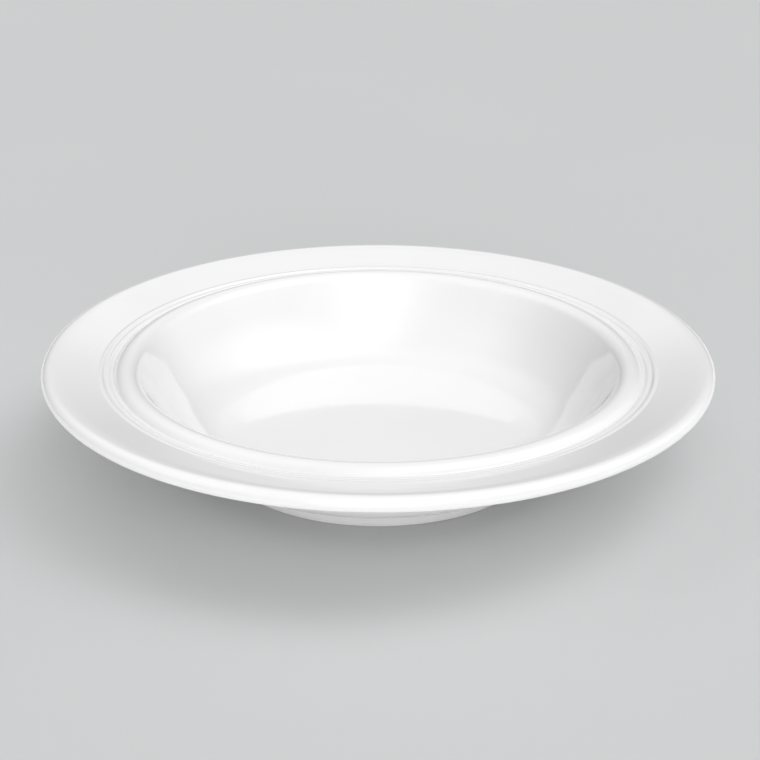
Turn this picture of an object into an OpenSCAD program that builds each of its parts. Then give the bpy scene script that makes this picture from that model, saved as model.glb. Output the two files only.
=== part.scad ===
// Rimmed soup plate in glazed porcelain, in millimetres. It stands on its foot ring on z = 0,
// with +Z up and its axis on the origin. Every outline is a half section of [radius, height].

/* [Plate] */
// Outside diameter over the lip
plate_d = 230; // [215:1:250]
// Height from the table to the top of the lip
plate_h = 39.7; // [37:0.1:44]
// Thickness of the floor and of the well's wall, with the glaze
wall_t = 4.8; // [4:0.1:5.6]

/* [Rim] */
// Distance from the lip's edge in to the crest of the bead
rim_w = 28.4; // [26:0.2:32]
// Thickness of the rim, with the glaze
rim_t = 5.1; // [4.4:0.1:5.7]
// Angle at which the rim climbs outward beside the ridges
rim_slope = 14; // [12:0.5:15]
// Angle that the slightly domed rim loses from there to the lip
rim_flatten = 0.6; // [0.3:0.1:1.2]
// Radius between the rim's underside and the outer wall of the well
shoulder_r = 5; // [4:0.5:6]

/* [Bead and ridges] */
// Width of the bead
bead_w = 8.8; // [7.6:0.1:9.6]
// Height of the bead's crest over the rim beside it
bead_rise = 2.6; // [2.1:0.05:2.8]
// Radius in the corner where the bead meets the rim
bead_root_r = 1; // [0.6:0.1:1.4]
// Number of fine ridges round the bead
ridge_count = 2; // [1:1:3]
// Distance from one ridge to the next
ridge_pitch = 2.4; // [2:0.1:3]
// Height of each ridge over the rim
ridge_h = 0.35; // [0.2:0.05:0.5]

/* [Lip] */
// Radius of the lip's rolled top
lip_roll_r = 3.2; // [2.8:0.1:3.6]
// Radius that eases the rim into the lip
lip_ease_r = 37; // [28:1:42]
// Angle at which it passes into the rolled top
lip_lean = 7.5; // [6:0.5:9]

/* [Well] */
// Angle of the straight wall below the bead
wall_slope = 58.5; // [54:0.5:62]
// Length of that straight part
wall_run = 9.2; // [8:0.2:11]
// Radius of the well's corner
corner_r = 22.5; // [18:0.5:27]
// Angle of the wall where the corner passes into it
corner_rise = 45; // [41:0.5:49]
// Radius of the slightly dished ring of floor inside the corner
dish_r = 61; // [50:1:72]
// Angle of the floor where it passes into the corner
dish_rise = 8.5; // [6:0.5:11]

/* [Foot] */
// Distance from the bead's crest in to the foot ring's outer edge
foot_set = 29.4; // [27:0.1:33]
// Width of the foot ring at the table
foot_w = 4.6; // [4:0.1:5.4]
// Height of the recess inside the foot ring
foot_h = 3.9; // [3.4:0.1:4.6]
// Draft of the ring's outer side
foot_draft = 9; // [4:1:14]
// Draft of the ring's inner side
recess_draft = 22; // [12:1:30]
// Radius of the ring's edges at the table
foot_edge_r = 0.7; // [0.5:0.1:0.9]
// Radius between the ring and the underside of the well
foot_root_r = 1.4; // [1:0.1:2]
// Radius between the ring and the base inside it
recess_root_r = 1.8; // [1.2:0.1:2.2]

/* [Glaze] */
// Thickness of the glaze
glaze_t = 0.25; // [0.15:0.05:0.35]
// Height of the bare band on both sides of the foot ring
bare_h = 1; // [0.9:0.05:1.2]

/* [Hidden] */
$fn = 180;
arc_steps = 12;
fillet_steps = 6;
ridge_steps = 8;
// Angle, up from the plate's plane, at which the rolled top passes into the tighter edge
roll_end = 40;

// Unit vector at an angle, angle of a vector, and points along an arc. An arc that goes on from
// another one leaves out the point that both share.
function ray(angle) = [cos(angle), sin(angle)];
function angle_of(v) = atan2(v[1], v[0]);
function arc(centre, radius, from, to, steps, first = 0) =
    [for (i = [first : steps]) centre + radius * ray(from + (to - from) * i / steps)];

// Where a line from p along the unit vector d meets a circle. way is -1 for the near crossing and
// 1 for the far one.
function on_circle(p, d, centre, radius, way) =
    let (back = p - centre, half = back * d)
    p + d * (-half + way * sqrt(half * half - back * back + radius * radius));

// Where the line from p at one angle crosses the line from q at another
function crossing(p, p_angle, q, q_angle) =
    let (across = ray(q_angle + 90))
    p + ray(p_angle) * ((q - p) * across) / (ray(p_angle) * across);

// A copy of an open outline, moved to its right by t, with its corners mitred
function side_step(a, b) = let (d = (b - a) / norm(b - a)) [d[1], -d[0]];
function inset(points, t) =
    let (last = len(points) - 1)
    [for (i = [0 : last])
        let (before = side_step(points[max(i, 1) - 1], points[max(i, 1)]),
             after = side_step(points[min(i, last - 1)], points[min(i, last - 1) + 1]))
        points[i] + t * (before + after) / (1 + before * after)];
function reversed(points) = [for (i = [len(points) - 1 : -1 : 0]) points[i]];

// Where the bead stands, the rim's outer slope, and the lip: its rolled top, the tighter edge that
// gives the rim its thickness, and the wide radius that leads up to it
bead_at = plate_d / 2 - rim_w;
slope_out = rim_slope - rim_flatten;
roll_drop = lip_roll_r * cos(slope_out - lip_lean) + lip_ease_r * (1 - cos(slope_out - lip_lean));
roll_lean = sin(roll_end - slope_out);
lip_edge_r = (rim_t - roll_drop + lip_roll_r * roll_lean) / (1 + roll_lean);
roll_centre = [plate_d / 2 - lip_edge_r - (lip_roll_r - lip_edge_r) * cos(roll_end),
               plate_h - lip_roll_r];
edge_centre = roll_centre + (lip_roll_r - lip_edge_r) * ray(roll_end);
ease_centre = roll_centre + (lip_roll_r - lip_ease_r) * ray(90 + lip_lean);
rim_under = edge_centre + lip_edge_r * ray(slope_out - 90);

// The domed rim, from one half pitch outside the ridges to the lip
ease_start = ease_centre + lip_ease_r * ray(90 + slope_out);
dome_start = bead_at + bead_w / 2 + (ridge_count + 0.5) * ridge_pitch;
dome_r = (ease_start[0] - dome_start) / (sin(rim_slope) - sin(slope_out));
dome_centre = ease_centre + (lip_ease_r - dome_r) * ray(90 + slope_out);
rim_end = dome_centre + dome_r * ray(90 + rim_slope);

// The bead, and the small corner between it and the rim
function rim_z(r) = rim_end[1] + (r - rim_end[0]) * tan(rim_slope);
bead_root_z = rim_z(bead_at + bead_w / 2);
bead_r = (bead_w * bead_w / 4 + bead_rise * bead_rise) / (2 * bead_rise);
bead_centre = [bead_at, bead_root_z + bead_rise - bead_r];
bead_corner = on_circle(rim_end + bead_root_r * ray(90 + rim_slope), ray(rim_slope),
                        bead_centre, bead_r + bead_root_r, 1);
bead_out = angle_of(bead_corner - bead_centre);
ridges_start = bead_corner + bead_root_r * ray(rim_slope - 90);

// The well, from the bead down: a straight wall, a slight bend, the round corner, the dished ring
// and the flat floor. The radius of the bend takes up the depth that the others leave.
wall_top = bead_centre + bead_r * ray(90 + wall_slope);
bend_top = wall_top - wall_run * ray(wall_slope);
floor_z = foot_h + wall_t;
bend_r = (bend_top[1] - floor_z - corner_r * (cos(dish_rise) - cos(corner_rise))
          - dish_r * (1 - cos(dish_rise))) / (cos(corner_rise) - cos(wall_slope));
bend_centre = bend_top + bend_r * ray(wall_slope + 90);
corner_centre = bend_centre + (bend_r - corner_r) * ray(corner_rise - 90);
dish_centre = corner_centre + (corner_r - dish_r) * ray(dish_rise - 90);

// The shoulder between the rim's underside and the outer wall
shoulder = crossing(rim_under + shoulder_r * ray(slope_out - 90), slope_out,
                    bend_centre + (bend_r + wall_t + shoulder_r) * ray(wall_slope - 90), wall_slope);

// The foot ring: the root outside it, the root inside it, and where the glaze ends on both sides
foot_at = bead_at - foot_set;
foot_root = on_circle([foot_at, 0] + foot_root_r * ray(-foot_draft), ray(90 - foot_draft),
                      corner_centre, corner_r + wall_t + foot_root_r, -1);
foot_out = angle_of(foot_root - corner_centre);
recess_side = [foot_at - foot_w, 0];
recess_root = [recess_side[0] - recess_root_r / cos(recess_draft)
               - (foot_h - recess_root_r) * tan(recess_draft), foot_h - recess_root_r];
glaze_end_out = [foot_at + bare_h * tan(foot_draft), bare_h];
glaze_end_in = [recess_side[0] - bare_h * tan(recess_draft), bare_h];

// The bare porcelain's edges at the table, which lie one glaze thickness inside the glazed sides
function edge_in(draft) = (foot_edge_r * (1 - sin(draft)) + glaze_t) / cos(draft);
bare_edge_out = [foot_at - edge_in(foot_draft), foot_edge_r];
bare_edge_in = [recess_side[0] + edge_in(recess_draft), foot_edge_r];

// The fine ridges, as waves on the rim's plane from the bead outward
ridges = [for (i = [0 : ridge_count * ridge_steps])
    ridges_start + ray(rim_slope) * ridge_pitch * i / ridge_steps
        + ray(90 + rim_slope) * ridge_h * (1 - cos(360 * i / ridge_steps)) / 2];

// The glaze's surface, from the middle of the floor over the lip to the foot ring
coat = concat(
    [[0, floor_z]],
    arc(dish_centre, dish_r, 270, 270 + dish_rise, fillet_steps),
    arc(corner_centre, corner_r, 270 + dish_rise, 270 + corner_rise, arc_steps, 1),
    arc(bend_centre, bend_r, 270 + corner_rise, 270 + wall_slope, fillet_steps, 1),
    arc(bead_centre, bead_r, 90 + wall_slope, bead_out, arc_steps),
    arc(bead_corner, bead_root_r, bead_out + 180, 270 + rim_slope, fillet_steps, 1),
    [for (i = [1 : len(ridges) - 1]) ridges[i]],
    arc(dome_centre, dome_r, 90 + rim_slope, 90 + slope_out, fillet_steps),
    arc(ease_centre, lip_ease_r, 90 + slope_out, 90 + lip_lean, fillet_steps, 1),
    arc(roll_centre, lip_roll_r, 90 + lip_lean, roll_end, fillet_steps, 1),
    arc(edge_centre, lip_edge_r, roll_end, slope_out - 90, arc_steps, 1),
    arc(shoulder, shoulder_r, 90 + slope_out, 90 + wall_slope, fillet_steps),
    arc(bend_centre, bend_r + wall_t, wall_slope - 90, corner_rise - 90, fillet_steps),
    arc(corner_centre, corner_r + wall_t, corner_rise - 90, foot_out, arc_steps, 1),
    arc(foot_root, foot_root_r, foot_out + 180, 180 - foot_draft, fillet_steps, 1),
    [glaze_end_out]);

// The glaze's surface inside the foot ring, from the ring to the middle of the base
base = concat(
    [glaze_end_in],
    arc(recess_root, recess_root_r, recess_draft, 90, fillet_steps),
    [[0, foot_h]]);

// The fired body under both glazes, with its bare bearing ring
module porcelain_body() {
    color([0.93, 0.91, 0.87])
    rotate_extrude()
    polygon(concat(
        inset(coat, glaze_t),
        arc(bare_edge_out, foot_edge_r, -foot_draft, -90, fillet_steps),
        arc(bare_edge_in, foot_edge_r, 270, 180 + recess_draft, fillet_steps),
        inset(base, glaze_t)));
}

// One unbroken coat over the well, the rim, the lip, the underside and the ring's outer side
module outer_glaze() {
    color([0.97, 0.97, 0.96])
    rotate_extrude()
    polygon(concat(coat, reversed(inset(coat, glaze_t))));
}

// The coat inside the foot ring
module base_glaze() {
    color([0.96, 0.96, 0.95])
    rotate_extrude()
    polygon(concat(base, reversed(inset(base, glaze_t))));
}

porcelain_body();
outer_glaze();
base_glaze();
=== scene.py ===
"""The looks of a rimmed porcelain soup plate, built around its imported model.

The outlines are half sections of (radius, height) in millimetres, turned about the plate's axis.
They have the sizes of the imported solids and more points, so the glaze reflects smoothly.
"""
import math

import bmesh
import bpy
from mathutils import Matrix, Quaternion, Vector


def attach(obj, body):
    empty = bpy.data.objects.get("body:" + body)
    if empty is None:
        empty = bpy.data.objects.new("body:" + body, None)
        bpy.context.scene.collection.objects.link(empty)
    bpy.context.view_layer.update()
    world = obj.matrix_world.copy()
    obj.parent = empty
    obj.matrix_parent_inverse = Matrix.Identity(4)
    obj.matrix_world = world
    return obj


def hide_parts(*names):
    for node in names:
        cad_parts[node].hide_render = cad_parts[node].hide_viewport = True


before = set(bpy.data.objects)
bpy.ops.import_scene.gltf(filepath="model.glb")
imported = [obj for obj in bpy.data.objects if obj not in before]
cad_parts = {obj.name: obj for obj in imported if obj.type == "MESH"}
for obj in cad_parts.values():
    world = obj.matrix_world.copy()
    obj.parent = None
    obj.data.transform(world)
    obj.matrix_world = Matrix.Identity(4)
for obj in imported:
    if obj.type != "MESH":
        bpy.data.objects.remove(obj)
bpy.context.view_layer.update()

MM = 0.001

# The plate and its rim
PLATE_R = 115.0
PLATE_H = 39.7
WALL_T = 4.8
RIM_W = 28.4
RIM_T = 5.1
RIM_SLOPE = 14.0
RIM_FLATTEN = 0.6
SHOULDER_R = 5.0

# The bead and the ridges beside it
BEAD_W = 8.8
BEAD_RISE = 2.6
BEAD_ROOT_R = 1.0
RIDGE_COUNT = 2
RIDGE_PITCH = 2.4
RIDGE_H = 0.35

# The lip
ROLL_R = 3.2
ROLL_END = 40.0
EASE_R = 37.0
LIP_LEAN = 7.5

# The well: its straight wall, the corner, and the dished ring round the flat floor
WALL_SLOPE = 58.5
WALL_RUN = 9.2
CORNER_R = 22.5
CORNER_RISE = 45.0
DISH_R = 61.0
DISH_RISE = 8.5

# The foot ring
FOOT_SET = 29.4
FOOT_W = 4.6
FOOT_H = 3.9
FOOT_DRAFT = 9.0
RECESS_DRAFT = 22.0
FOOT_EDGE_R = 0.7
FOOT_ROOT_R = 1.4
RECESS_ROOT_R = 1.8

# The glaze, and the band that it leaves bare on the foot ring
GLAZE_T = 0.25
BARE_H = 1.0

# Sizes that follow from the others
BEAD_AT_R = PLATE_R - RIM_W
SLOPE_OUT = RIM_SLOPE - RIM_FLATTEN
FOOT_R = BEAD_AT_R - FOOT_SET

# How finely the pieces are divided: the steps round the axis, the longest step along an arc in
# millimetres and in degrees, the fewest steps of an arc, the steps of a ridge, the usual step
# along a line, the first one beside each of its ends, the shortest line that is divided, and
# which points a hidden outline keeps
SEGMENTS = 256
ARC_STEP = 0.7
ARC_TURN = 6.0
LEAST_STEPS = 6
RIDGE_STEPS = 12
LINE_STEP = 2.5
LINE_GUARD = 0.2
LINE_LEAST = 0.6
HIDDEN_STEP = 3

# The radius under which a point of an outline is on the axis
ON_AXIS = 0.001


def ray(angle):
    """The unit vector at an angle in degrees."""
    return Vector((math.cos(math.radians(angle)), math.sin(math.radians(angle))))


def angle_of(v):
    return math.degrees(math.atan2(v[1], v[0]))


def arc(centre, radius, start, end, first=0):
    """Points along an arc. One that goes on from another leaves out the point that both share."""
    turn = end - start
    length = abs(math.radians(turn)) * radius
    steps = max(LEAST_STEPS, math.ceil(length / ARC_STEP), math.ceil(abs(turn) / ARC_TURN))
    return [centre + radius * ray(start + turn * i / steps) for i in range(first, steps + 1)]


def line(start, end):
    """Points inside a straight stretch, the outer two close to its ends to keep it flat."""
    length = (end - start).length
    if length < LINE_LEAST:
        return []
    way = (end - start) / length
    inner = length - 2 * LINE_GUARD
    steps = max(1, round(inner / LINE_STEP))
    return [start + way * (LINE_GUARD + inner * i / steps) for i in range(steps + 1)]


def on_circle(p, way, centre, radius, far):
    """Where a line from p along a unit vector meets a circle, at the near or the far crossing."""
    back = p - centre
    half = back.dot(way)
    root = math.sqrt(half * half - back.length_squared + radius * radius)
    return p + way * (-half + (root if far else -root))


def crossing(p, p_angle, q, q_angle):
    """Where the line from p at one angle crosses the line from q at another."""
    across = ray(q_angle + 90)
    return p + ray(p_angle) * ((q - p).dot(across) / ray(p_angle).dot(across))


def inset(points, distance):
    """An open outline moved to its right, with its corners mitred."""
    sides = []
    for a, b in zip(points, points[1:]):
        way = (b - a).normalized()
        sides.append(Vector((way.y, -way.x)))
    moved = []
    for i, point in enumerate(points):
        before = sides[max(i - 1, 0)]
        after = sides[min(i, len(sides) - 1)]
        moved.append(point + distance * (before + after) / (1 + before.dot(after)))
    return moved


def thinned(points):
    """An outline that is hidden between two pieces, with fewer of its points."""
    return points[:-1:HIDDEN_STEP] + points[-1:]


def rim_lines():
    """The coat's outline over the domed rim and the lip to the rim's underside."""
    turn = ray(SLOPE_OUT - LIP_LEAN).x
    drop = ROLL_R * turn + EASE_R * (1 - turn)
    lean = ray(ROLL_END - SLOPE_OUT).y
    edge_r = (RIM_T - drop + ROLL_R * lean) / (1 + lean)
    roll = Vector((PLATE_R - edge_r - (ROLL_R - edge_r) * ray(ROLL_END).x, PLATE_H - ROLL_R))
    edge = roll + (ROLL_R - edge_r) * ray(ROLL_END)
    ease = roll + (ROLL_R - EASE_R) * ray(90 + LIP_LEAN)
    inner_r = BEAD_AT_R + BEAD_W / 2 + (RIDGE_COUNT + 0.5) * RIDGE_PITCH
    ease_end = ease + EASE_R * ray(90 + SLOPE_OUT)
    dome_r = (ease_end.x - inner_r) / (ray(RIM_SLOPE).y - ray(SLOPE_OUT).y)
    dome = ease + (EASE_R - dome_r) * ray(90 + SLOPE_OUT)
    lip = arc(dome, dome_r, 90 + RIM_SLOPE, 90 + SLOPE_OUT)
    lip += arc(ease, EASE_R, 90 + SLOPE_OUT, 90 + LIP_LEAN, 1)
    lip += arc(roll, ROLL_R, 90 + LIP_LEAN, ROLL_END, 1)
    return lip + arc(edge, edge_r, ROLL_END, SLOPE_OUT - 90, 1)


def bead_lines(rim_end):
    """The bead with its root and the fine ridges, from the well's wall outward."""
    foot_r = BEAD_AT_R + BEAD_W / 2
    foot_z = rim_end.y + (foot_r - rim_end.x) * math.tan(math.radians(RIM_SLOPE))
    bead_r = (BEAD_W * BEAD_W / 4 + BEAD_RISE * BEAD_RISE) / (2 * BEAD_RISE)
    bead = Vector((BEAD_AT_R, foot_z + BEAD_RISE - bead_r))
    corner = on_circle(rim_end + BEAD_ROOT_R * ray(90 + RIM_SLOPE), ray(RIM_SLOPE), bead,
                       bead_r + BEAD_ROOT_R, True)
    out = angle_of(corner - bead)
    start = corner + BEAD_ROOT_R * ray(RIM_SLOPE - 90)
    relief = arc(bead, bead_r, 90 + WALL_SLOPE, out)
    relief += arc(corner, BEAD_ROOT_R, out + 180, 270 + RIM_SLOPE, 1)
    for i in range(1, RIDGE_COUNT * RIDGE_STEPS + 1):
        turn = i / RIDGE_STEPS
        height = RIDGE_H * (1 - ray(360 * turn).x) / 2
        relief.append(start + ray(RIM_SLOPE) * (RIDGE_PITCH * turn) + ray(90 + RIM_SLOPE) * height)
    return relief


def well_arcs(wall_top):
    """Centre and radius of the well's bend, corner and dished ring, from the wall down."""
    wall_way, corner_way, dish_way = ray(WALL_SLOPE), ray(CORNER_RISE), ray(DISH_RISE)
    bend_top = wall_top - WALL_RUN * wall_way
    depth = bend_top.y - FOOT_H - WALL_T
    bend_drop = depth - CORNER_R * (dish_way.x - corner_way.x) - DISH_R * (1 - dish_way.x)
    bend_r = bend_drop / (corner_way.x - wall_way.x)
    bend = bend_top + bend_r * ray(WALL_SLOPE + 90)
    corner = bend + (bend_r - CORNER_R) * ray(CORNER_RISE - 90)
    dish = corner + (CORNER_R - DISH_R) * ray(DISH_RISE - 90)
    return (bend, bend_r), (corner, CORNER_R), (dish, DISH_R)


def well_lines(arcs):
    """The inside of the well, from the edge of the flat floor to the straight wall."""
    (bend, bend_r), (corner, corner_r), (dish, dish_r) = arcs
    points = arc(dish, dish_r, 270, 270 + DISH_RISE)
    points += arc(corner, corner_r, 270 + DISH_RISE, 270 + CORNER_RISE, 1)
    return points + arc(bend, bend_r, 270 + CORNER_RISE, 270 + WALL_SLOPE, 1)


def under_lines(rim_under, arcs):
    """The coat's outline from the rim's underside down to the end of the glaze on the foot ring."""
    (bend, bend_r), (corner, corner_r), dish = arcs
    shoulder = crossing(rim_under + SHOULDER_R * ray(SLOPE_OUT - 90), SLOPE_OUT,
                        bend + (bend_r + WALL_T + SHOULDER_R) * ray(WALL_SLOPE - 90), WALL_SLOPE)
    root = on_circle(Vector((FOOT_R, 0)) + FOOT_ROOT_R * ray(-FOOT_DRAFT), ray(90 - FOOT_DRAFT),
                     corner, corner_r + WALL_T + FOOT_ROOT_R, False)
    out = angle_of(root - corner)
    turn_in = arc(shoulder, SHOULDER_R, 90 + SLOPE_OUT, 90 + WALL_SLOPE)
    bowl = arc(bend, bend_r + WALL_T, WALL_SLOPE - 90, CORNER_RISE - 90)
    bowl += arc(corner, corner_r + WALL_T, CORNER_RISE - 90, out, 1)
    foot = arc(root, FOOT_ROOT_R, out + 180, 180 - FOOT_DRAFT, 1)
    end_z = BARE_H + GLAZE_T
    end = Vector((FOOT_R + end_z * math.tan(math.radians(FOOT_DRAFT)), end_z))
    points = line(rim_under, turn_in[0]) + turn_in
    points += line(turn_in[-1], bowl[0]) + bowl + foot
    return points + line(foot[-1], end) + [end]


def coat_outline():
    """The glaze's surface from the middle of the floor over the lip to the foot ring."""
    lip = rim_lines()
    relief = bead_lines(lip[0])
    arcs = well_arcs(relief[0])
    well = well_lines(arcs)
    floor_middle = Vector((0, well[0].y))
    points = [floor_middle] + line(floor_middle, well[0]) + well
    points += line(well[-1], relief[0]) + relief
    points += line(relief[-1], lip[0]) + lip
    return points + under_lines(lip[-1], arcs)


def base_outline():
    """The glaze's surface inside the foot ring, from the ring to the middle of the base."""
    side_r = FOOT_R - FOOT_W
    lean = math.tan(math.radians(RECESS_DRAFT))
    root = Vector((side_r - RECESS_ROOT_R / ray(RECESS_DRAFT).x - (FOOT_H - RECESS_ROOT_R) * lean,
                   FOOT_H - RECESS_ROOT_R))
    end_z = BARE_H + GLAZE_T
    end = Vector((side_r - end_z * lean, end_z))
    corner = arc(root, RECESS_ROOT_R, RECESS_DRAFT, 90)
    middle = Vector((0, FOOT_H))
    return [end] + line(end, corner[0]) + corner + line(corner[-1], middle) + [middle]


def foot_outline():
    """The bare bearing ring, from the outer side round both edges to the inner side."""
    def edge_in(draft):
        return (FOOT_EDGE_R * (1 - ray(draft).y) + GLAZE_T) / ray(draft).x

    outer = Vector((FOOT_R - edge_in(FOOT_DRAFT), FOOT_EDGE_R))
    inner = Vector((FOOT_R - FOOT_W + edge_in(RECESS_DRAFT), FOOT_EDGE_R))
    outer_edge = arc(outer, FOOT_EDGE_R, -FOOT_DRAFT, -90)
    inner_edge = arc(inner, FOOT_EDGE_R, 270, 180 + RECESS_DRAFT)
    return outer_edge + line(outer_edge[-1], inner_edge[0]) + inner_edge


def lathe(name, outline):
    """A closed mesh turned from an outline, with one point where the outline meets the axis."""
    mesh = bmesh.new()
    rings = []
    for point in outline:
        if point.x < ON_AXIS:
            rings.append([mesh.verts.new((0, 0, point.y * MM))])
            continue
        ring = []
        for i in range(SEGMENTS):
            turn = point.x * MM * ray(360 * i / SEGMENTS)
            ring.append(mesh.verts.new((turn.x, turn.y, point.y * MM)))
        rings.append(ring)
    for lower, upper in zip(rings, rings[1:] + rings[:1]):
        if len(lower) == 1 and len(upper) == 1:
            continue
        for i in range(SEGMENTS):
            j = (i + 1) % SEGMENTS
            corners = [lower[i % len(lower)], lower[j % len(lower)],
                       upper[j % len(upper)], upper[i % len(upper)]]
            mesh.faces.new(list(dict.fromkeys(corners)))
    bmesh.ops.recalc_face_normals(mesh, faces=mesh.faces)
    data = bpy.data.meshes.new(name)
    mesh.to_mesh(data)
    mesh.free()
    data.shade_smooth()
    piece = bpy.data.objects.new(name, data)
    bpy.context.scene.collection.objects.link(piece)
    return piece


# The middle of a noise's range, which spread() maps to a range of values
NOISE_LOW = 0.3
NOISE_HIGH = 0.7


def new_material(name):
    material = bpy.data.materials.new(name)
    material.use_nodes = True
    nodes = material.node_tree.nodes
    return material, nodes, material.node_tree.links, nodes["Principled BSDF"]


def noise(nodes, links, source, scale, detail):
    node = nodes.new("ShaderNodeTexNoise")
    node.inputs["Scale"].default_value = scale
    node.inputs["Detail"].default_value = detail
    links.new(source, node.inputs["Vector"])
    return node.outputs["Fac"]


def spread(nodes, links, source, low, high):
    """Maps the middle of a noise's range to a range of values."""
    node = nodes.new("ShaderNodeMapRange")
    node.inputs["From Min"].default_value = NOISE_LOW
    node.inputs["From Max"].default_value = NOISE_HIGH
    node.inputs["To Min"].default_value = low
    node.inputs["To Max"].default_value = high
    links.new(source, node.inputs["Value"])
    return node.outputs["Result"]


def tint(nodes, links, amount, first, second):
    node = nodes.new("ShaderNodeMix")
    node.data_type = "RGBA"
    node.inputs["A"].default_value = (*first, 1)
    node.inputs["B"].default_value = (*second, 1)
    links.new(amount, node.inputs["Factor"])
    return node.outputs["Result"]


def bump(nodes, links, height, distance, strength, under=None):
    node = nodes.new("ShaderNodeBump")
    node.inputs["Distance"].default_value = distance
    node.inputs["Strength"].default_value = strength
    links.new(height, node.inputs["Height"])
    if under is not None:
        links.new(under, node.inputs["Normal"])
    return node.outputs["Normal"]


# The glaze: its tints, roughness and index, the scale and detail of its noises, and the height
# in metres of its waves and of its finest unevenness
GLAZE_TINTS = (0.89, 0.89, 0.89), (0.905, 0.905, 0.905)
GLAZE_ROUGHNESS = 0.05, 0.08
GLAZE_IOR = 1.6
GLAZE_CLOUD = 28, 3
GLAZE_WAVES = 55, 2
GLAZE_PEEL = 900, 2
WAVE_HEIGHT = 0.000006
PEEL_HEIGHT = 0.0000001

# The bare ring: its tints, roughness and noises, and the height and strength of its grain
BARE_TINTS = (0.83, 0.82, 0.80), (0.87, 0.863, 0.845)
BARE_ROUGHNESS = 0.65, 0.85
BARE_GRAIN = 1800, 4
BARE_SPECKS = 700, 1
GRAIN_HEIGHT = 0.00003
GRAIN_STRENGTH = 0.6

# The floor: its tints as the camera sees it, the colour that its light takes on, its noise and
# its roughness
FLOOR_TINTS = (0.60, 0.605, 0.61), (0.615, 0.62, 0.625)
FLOOR_BOUNCE = 0.9, 0.9, 0.9
FLOOR_CLOUD = 3, 2
FLOOR_ROUGHNESS = 0.9


def glaze_material():
    """A clear glaze on white porcelain, with slow waves in its surface and a faint cloudiness."""
    material, nodes, links, shader = new_material("white_glaze")
    place = nodes.new("ShaderNodeTexCoord").outputs["Object"]
    cloud = noise(nodes, links, place, *GLAZE_CLOUD)
    waves = noise(nodes, links, place, *GLAZE_WAVES)
    peel = noise(nodes, links, place, *GLAZE_PEEL)
    colour = tint(nodes, links, spread(nodes, links, cloud, 0, 1), *GLAZE_TINTS)
    links.new(colour, shader.inputs["Base Color"])
    links.new(spread(nodes, links, cloud, *GLAZE_ROUGHNESS), shader.inputs["Roughness"])
    slow = bump(nodes, links, waves, WAVE_HEIGHT, 1.0)
    links.new(bump(nodes, links, peel, PEEL_HEIGHT, 1.0, slow), shader.inputs["Normal"])
    shader.inputs["IOR"].default_value = GLAZE_IOR
    return material


def bare_material():
    """Fired porcelain without glaze, ground smooth: matte, a trace warm, with fine specks."""
    material, nodes, links, shader = new_material("bare_porcelain")
    place = nodes.new("ShaderNodeTexCoord").outputs["Object"]
    grain = noise(nodes, links, place, *BARE_GRAIN)
    specks = noise(nodes, links, place, *BARE_SPECKS)
    colour = tint(nodes, links, spread(nodes, links, specks, 0, 1), *BARE_TINTS)
    links.new(colour, shader.inputs["Base Color"])
    links.new(spread(nodes, links, grain, *BARE_ROUGHNESS), shader.inputs["Roughness"])
    links.new(bump(nodes, links, grain, GRAIN_HEIGHT, GRAIN_STRENGTH), shader.inputs["Normal"])
    return material


def floor_material():
    """A pale, faintly clouded table. It lights the plate more brightly than the camera sees it."""
    material, nodes, links, shader = new_material("floor")
    place = nodes.new("ShaderNodeTexCoord").outputs["Object"]
    cloud = spread(nodes, links, noise(nodes, links, place, *FLOOR_CLOUD), 0, 1)
    seen = tint(nodes, links, cloud, *FLOOR_TINTS)
    camera = nodes.new("ShaderNodeLightPath").outputs["Is Camera Ray"]
    colour = tint(nodes, links, camera, FLOOR_BOUNCE, (0, 0, 0))
    links.new(seen, colour.node.inputs["B"])
    links.new(colour, shader.inputs["Base Color"])
    shader.inputs["Roughness"].default_value = FLOOR_ROUGHNESS
    return material


def dress():
    """The three pieces of the plate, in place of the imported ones."""
    coat = coat_outline()
    base = base_outline()
    coat_inside = thinned(inset(coat, GLAZE_T))
    base_inside = inset(base, GLAZE_T)
    # Where the glaze ends on the foot ring, its edge is a quarter round
    coat_edge = arc(coat_inside[-1], GLAZE_T, -FOOT_DRAFT, -90 - FOOT_DRAFT)[1:-1]
    base_edge = arc(base_inside[0], GLAZE_T, 270 + RECESS_DRAFT, 180 + RECESS_DRAFT)[1:-1]
    glaze = glaze_material()
    bare = bare_material()
    pieces = {
        "porcelain_body": (coat_inside + foot_outline() + base_inside, bare, "bare_porcelain"),
        "outer_glaze": (coat + coat_edge + coat_inside[::-1], glaze, "white_glaze"),
        "base_glaze": (base + base_inside[::-1] + base_edge, glaze, "white_glaze"),
    }
    for node, (outline, material, slot) in pieces.items():
        piece = lathe("turned_" + node, outline)
        piece.data.materials.append(material)
        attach(piece, "root")
        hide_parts(node)


# Half the floor's side, in metres
FLOOR_HALF = 6.0


def add_floor():
    mesh = bpy.data.meshes.new("floor")
    corners = [(-FLOOR_HALF, -FLOOR_HALF, 0), (FLOOR_HALF, -FLOOR_HALF, 0),
               (FLOOR_HALF, FLOOR_HALF, 0), (-FLOOR_HALF, FLOOR_HALF, 0)]
    mesh.from_pydata(corners, [], [(0, 1, 2, 3)])
    mesh.materials.append(floor_material())
    floor = bpy.data.objects.new("floor", mesh)
    bpy.context.scene.collection.objects.link(floor)


# The view, from 22.2 degrees above the table and 0.56 m from the middle of the rim. It aims a
# little to the right of the middle and below it, and is rolled slightly.
VIEW_UP = 22.185
VIEW_FROM = 0.56
VIEW_LENS = 76.39
SENSOR_W = 36.0
RIM_MIDDLE = Vector((0, 0, 0.03755))
AIM_RIGHT = 0.00064
AIM_DOWN = 0.00931
VIEW_ROLL = 0.12


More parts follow.
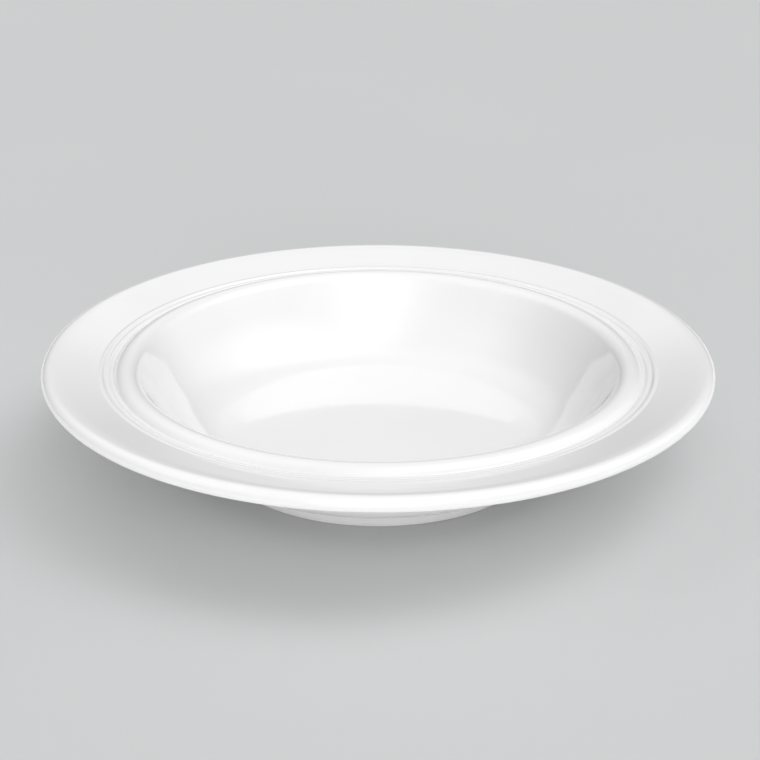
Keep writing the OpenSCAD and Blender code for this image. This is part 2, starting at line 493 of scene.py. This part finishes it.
def add_camera():
    away = ray(VIEW_UP)
    data = bpy.data.cameras.new("camera")
    data.lens = VIEW_LENS
    data.sensor_width = SENSOR_W
    camera = bpy.data.objects.new("camera", data)
    camera.location = RIM_MIDDLE + VIEW_FROM * Vector((0, -away.x, away.y))
    up = Vector((0, away.y, away.x))
    aim = RIM_MIDDLE + Vector((AIM_RIGHT, 0, 0)) - AIM_DOWN * up
    level = (aim - camera.location).to_track_quat("-Z", "Y")
    camera.rotation_euler = (level @ Quaternion((0, 0, 1), math.radians(VIEW_ROLL))).to_euler()
    bpy.context.scene.collection.objects.link(camera)
    bpy.context.scene.camera = camera


# The studio's light as soft glows round the plate, tuned to one photo: azimuth, with 0 behind
# the camera and 90 on the right, elevation, tightness and strength
GLOWS = [
    (0, 5, 30, 4.4),
    (0, 20, 24, 1.8),
    (0, 38, 16, 2.2),
    (0, 64, 40, 1.2),
    (90, 57, 16, 2.3),
    (90, 76, 16, 1.6),
    (108, 38, 16, 0.8),
    (120, 20, 24, 0.75),
    (135, 5, 30, 0.35),
    (180, 2, 300, 0.7),
    (180, 30, 300, 0.4),
    (180, 38, 16, 0.45),
    (216, 38, 16, 0.5),
    (225, 57, 16, 0.85),
    (270, 57, 16, 0.7),
    (288, 38, 16, 0.7),
]


# What the camera sees past the edge of the floor
BACKDROP = 0.62


def add_world():
    """Sums the glows, each of which is brightest in its own direction and fades evenly round it."""
    world = bpy.data.worlds.new("studio")
    world.use_nodes = True
    nodes, links = world.node_tree.nodes, world.node_tree.links
    way = nodes.new("ShaderNodeTexCoord").outputs["Generated"]

    def calculate(operation, *values):
        node = nodes.new("ShaderNodeMath")
        node.operation = operation
        for socket, value in zip(node.inputs, values):
            if isinstance(value, (int, float)):
                socket.default_value = value
            else:
                links.new(value, socket)
        return node.outputs["Value"]

    light = 0
    for azimuth, elevation, tightness, strength in GLOWS:
        level = ray(elevation)
        turn = ray(azimuth - 90)
        facing = nodes.new("ShaderNodeVectorMath")
        facing.operation = "DOT_PRODUCT"
        facing.inputs[1].default_value = (level.x * turn.x, level.x * turn.y, level.y)
        links.new(way, facing.inputs[0])
        glow = calculate("POWER", calculate("MAXIMUM", facing.outputs["Value"], 0), tightness)
        light = calculate("MULTIPLY_ADD", glow, strength, light)
    camera = nodes.new("ShaderNodeLightPath").outputs["Is Camera Ray"]
    light = calculate("MULTIPLY_ADD", camera, calculate("SUBTRACT", BACKDROP, light), light)
    background = nodes["Background"]
    background.inputs["Color"].default_value = (1, 1, 1, 1)
    links.new(light, background.inputs["Strength"])
    bpy.context.scene.world = world


dress()
add_floor()
add_camera()
add_world()
bpy.context.scene.view_settings.view_transform = "Standard"
